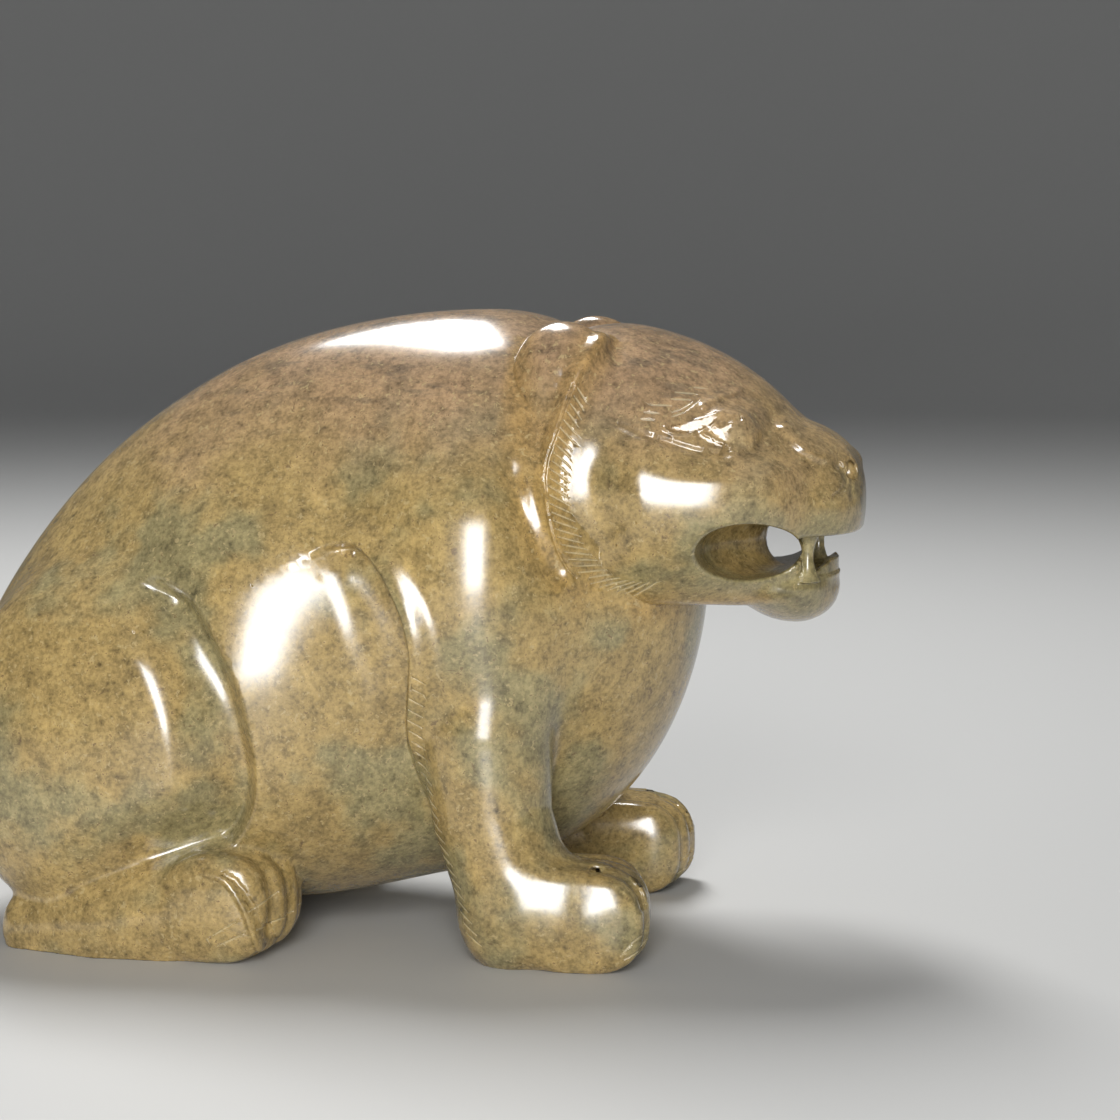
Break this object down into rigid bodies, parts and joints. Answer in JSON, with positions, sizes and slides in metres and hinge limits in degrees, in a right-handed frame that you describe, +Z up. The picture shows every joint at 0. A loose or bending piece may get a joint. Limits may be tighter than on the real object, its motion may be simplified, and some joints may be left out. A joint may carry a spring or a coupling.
{
  "type": "bear figurine",
  "caption": "Crouching bear figurine carved in the round from solid polished jade, with an open mouth, curled ears and incised fur strokes; stands on its own feet.",
  "frame": {"origin": "middle of the bear's length and width, at the level of its soles", "axes": "+X towards the bear's nose, +Y to its left, +Z up"},
  "size_m": [0.0924, 0.0518, 0.0616],
  "materials": {
    "jade": "polished, mottled tan and olive brown"
  },
  "bodies": {
    "root": {"bear": "jade"}
  },
  "joints": []
}
